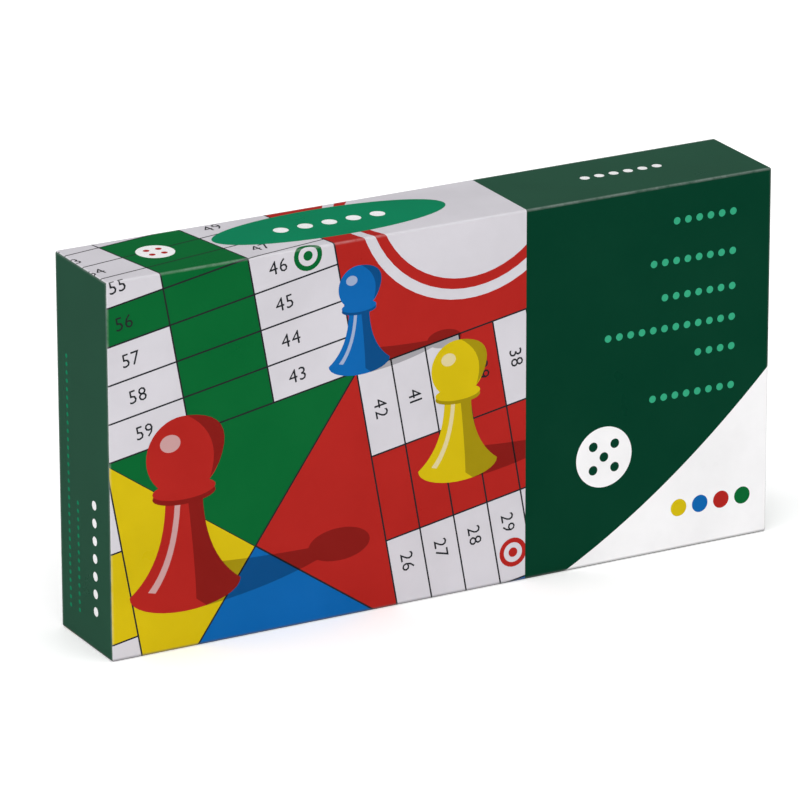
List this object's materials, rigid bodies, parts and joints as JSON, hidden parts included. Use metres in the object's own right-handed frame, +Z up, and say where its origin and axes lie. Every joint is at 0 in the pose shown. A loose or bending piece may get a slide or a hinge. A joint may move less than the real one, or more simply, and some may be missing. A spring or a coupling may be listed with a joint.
{
  "type": "boxed parcheesi board",
  "caption": "Printed game box with a slide-off lid, holding a hinged magnetic parcheesi board that folds in two, and a foam tray of magnetic discs and dice.",
  "frame": {"origin": "centre of the long narrow side that the closed box stands on", "axes": "+X along the box's length, to the right of its printed front; +Y towards its back; +Z up"},
  "size_m": [0.25, 0.037, 0.131],
  "materials": {
    "lid_print": "satin",
    "base_wrap": "matte",
    "foam": "matte",
    "leaflet_paper": "matte",
    "frame_plastic": "satin",
    "sheet_steel": "satin",
    "play_print": "satin",
    "pin_steel": "satin",
    "ferrite": "matte",
    "disc_yellow": "gloss",
    "disc_blue": "gloss",
    "disc_red": "gloss",
    "disc_green": "gloss",
    "die_white": "gloss"
  },
  "bodies": {
    "base": {"base_tray": "base_wrap", "piece_tray": "foam"},
    "lid": {"lid": "lid_print", "rule_leaflet": "leaflet_paper"},
    "board_back": {"board_frame_back": "frame_plastic", "steel_sheet_back": "sheet_steel", "play_sheet_back": "play_print", "hinge_pin_left": "pin_steel", "hinge_pin_right": "pin_steel"},
    "board_front": {"board_frame_front": "frame_plastic", "steel_sheet_front": "sheet_steel", "play_sheet_front": "play_print"},
    "disc_yellow_1": {"disc_yellow_1": "disc_yellow", "magnet_yellow_1": "ferrite"},
    "disc_yellow_2": {"disc_yellow_2": "disc_yellow", "magnet_yellow_2": "ferrite"},
    "disc_yellow_3": {"disc_yellow_3": "disc_yellow", "magnet_yellow_3": "ferrite"},
    "disc_yellow_4": {"disc_yellow_4": "disc_yellow", "magnet_yellow_4": "ferrite"},
    "disc_blue_1": {"disc_blue_1": "disc_blue", "magnet_blue_1": "ferrite"},
    "disc_blue_2": {"disc_blue_2": "disc_blue", "magnet_blue_2": "ferrite"},
    "disc_blue_3": {"disc_blue_3": "disc_blue", "magnet_blue_3": "ferrite"},
    "disc_blue_4": {"disc_blue_4": "disc_blue", "magnet_blue_4": "ferrite"},
    "disc_red_1": {"disc_red_1": "disc_red", "magnet_red_1": "ferrite"},
    "disc_red_2": {"disc_red_2": "disc_red", "magnet_red_2": "ferrite"},
    "disc_red_3": {"disc_red_3": "disc_red", "magnet_red_3": "ferrite"},
    "disc_red_4": {"disc_red_4": "disc_red", "magnet_red_4": "ferrite"},
    "disc_green_1": {"disc_green_1": "disc_green", "magnet_green_1": "ferrite"},
    "disc_green_2": {"disc_green_2": "disc_green", "magnet_green_2": "ferrite"},
    "disc_green_3": {"disc_green_3": "disc_green", "magnet_green_3": "ferrite"},
    "disc_green_4": {"disc_green_4": "disc_green", "magnet_green_4": "ferrite"},
    "die_left": {"die_left": "die_white"},
    "die_right": {"die_right": "die_white"}
  },
  "joints": [
    {"name": "lid_slide", "type": "slide", "parent": "base", "child": "lid", "axis": [0, -1, 0], "range_m": [0, 0.4]},
    {"name": "board_tip", "type": "hinge", "parent": "base", "child": "board_back", "pos_m": [0, -0.0074, 0.0038], "axis": [1, 0, 0], "range_deg": [0, 90]},
    {"name": "board_unfold", "type": "hinge", "parent": "board_back", "child": "board_front", "pos_m": [0, -0.0074, 0.124], "axis": [-1, 0, 0], "range_deg": [0, 180]},
    {"name": "disc_yellow_1_lift", "type": "slide", "parent": "base", "child": "disc_yellow_1", "axis": [0, -1, 0], "range_m": [0, 0.004]},
    {"name": "disc_yellow_2_lift", "type": "slide", "parent": "base", "child": "disc_yellow_2", "axis": [0, -1, 0], "range_m": [0, 0.004]},
    {"name": "disc_yellow_3_lift", "type": "slide", "parent": "base", "child": "disc_yellow_3", "axis": [0, -1, 0], "range_m": [0, 0.004]},
    {"name": "disc_yellow_4_lift", "type": "slide", "parent": "base", "child": "disc_yellow_4", "axis": [0, -1, 0], "range_m": [0, 0.004]},
    {"name": "disc_blue_1_lift", "type": "slide", "parent": "base", "child": "disc_blue_1", "axis": [0, -1, 0], "range_m": [0, 0.004]},
    {"name": "disc_blue_2_lift", "type": "slide", "parent": "base", "child": "disc_blue_2", "axis": [0, -1, 0], "range_m": [0, 0.004]},
    {"name": "disc_blue_3_lift", "type": "slide", "parent": "base", "child": "disc_blue_3", "axis": [0, -1, 0], "range_m": [0, 0.004]},
    {"name": "disc_blue_4_lift", "type": "slide", "parent": "base", "child": "disc_blue_4", "axis": [0, -1, 0], "range_m": [0, 0.004]},
    {"name": "disc_red_1_lift", "type": "slide", "parent": "base", "child": "disc_red_1", "axis": [0, -1, 0], "range_m": [0, 0.004]},
    {"name": "disc_red_2_lift", "type": "slide", "parent": "base", "child": "disc_red_2", "axis": [0, -1, 0], "range_m": [0, 0.004]},
    {"name": "disc_red_3_lift", "type": "slide", "parent": "base", "child": "disc_red_3", "axis": [0, -1, 0], "range_m": [0, 0.004]},
    {"name": "disc_red_4_lift", "type": "slide", "parent": "base", "child": "disc_red_4", "axis": [0, -1, 0], "range_m": [0, 0.004]},
    {"name": "disc_green_1_lift", "type": "slide", "parent": "base", "child": "disc_green_1", "axis": [0, -1, 0], "range_m": [0, 0.004]},
    {"name": "disc_green_2_lift", "type": "slide", "parent": "base", "child": "disc_green_2", "axis": [0, -1, 0], "range_m": [0, 0.004]},
    {"name": "disc_green_3_lift", "type": "slide", "parent": "base", "child": "disc_green_3", "axis": [0, -1, 0], "range_m": [0, 0.004]},
    {"name": "disc_green_4_lift", "type": "slide", "parent": "base", "child": "disc_green_4", "axis": [0, -1, 0], "range_m": [0, 0.004]},
    {"name": "die_left_lift", "type": "slide", "parent": "base", "child": "die_left", "axis": [0, -1, 0], "range_m": [0, 0.0095]},
    {"name": "die_right_lift", "type": "slide", "parent": "base", "child": "die_right", "axis": [0, -1, 0], "range_m": [0, 0.0095]}
  ],
  "couplings": [
    {"joint": "board_tip", "follows": "lid_slide", "rad_per_m": 3.9269},
    {"joint": "board_unfold", "follows": "lid_slide", "rad_per_m": 7.8538},
    {"joint": "disc_yellow_1_lift", "follows": "lid_slide", "ratio": 0.00999},
    {"joint": "disc_yellow_2_lift", "follows": "lid_slide", "ratio": 0.00999},
    {"joint": "disc_yellow_3_lift", "follows": "lid_slide", "ratio": 0.00999},
    {"joint": "disc_yellow_4_lift", "follows": "lid_slide", "ratio": 0.00999},
    {"joint": "disc_blue_1_lift", "follows": "lid_slide", "ratio": 0.00999},
    {"joint": "disc_blue_2_lift", "follows": "lid_slide", "ratio": 0.00999},
    {"joint": "disc_blue_3_lift", "follows": "lid_slide", "ratio": 0.00999},
    {"joint": "disc_blue_4_lift", "follows": "lid_slide", "ratio": 0.00999},
    {"joint": "disc_red_1_lift", "follows": "lid_slide", "ratio": 0.00999},
    {"joint": "disc_red_2_lift", "follows": "lid_slide", "ratio": 0.00999},
    {"joint": "disc_red_3_lift", "follows": "lid_slide", "ratio": 0.00999},
    {"joint": "disc_red_4_lift", "follows": "lid_slide", "ratio": 0.00999},
    {"joint": "disc_green_1_lift", "follows": "lid_slide", "ratio": 0.00999},
    {"joint": "disc_green_2_lift", "follows": "lid_slide", "ratio": 0.00999},
    {"joint": "disc_green_3_lift", "follows": "lid_slide", "ratio": 0.00999},
    {"joint": "disc_green_4_lift", "follows": "lid_slide", "ratio": 0.00999},
    {"joint": "die_left_lift", "follows": "lid_slide", "ratio": 0.02374},
    {"joint": "die_right_lift", "follows": "lid_slide", "ratio": 0.02374}
  ]
}
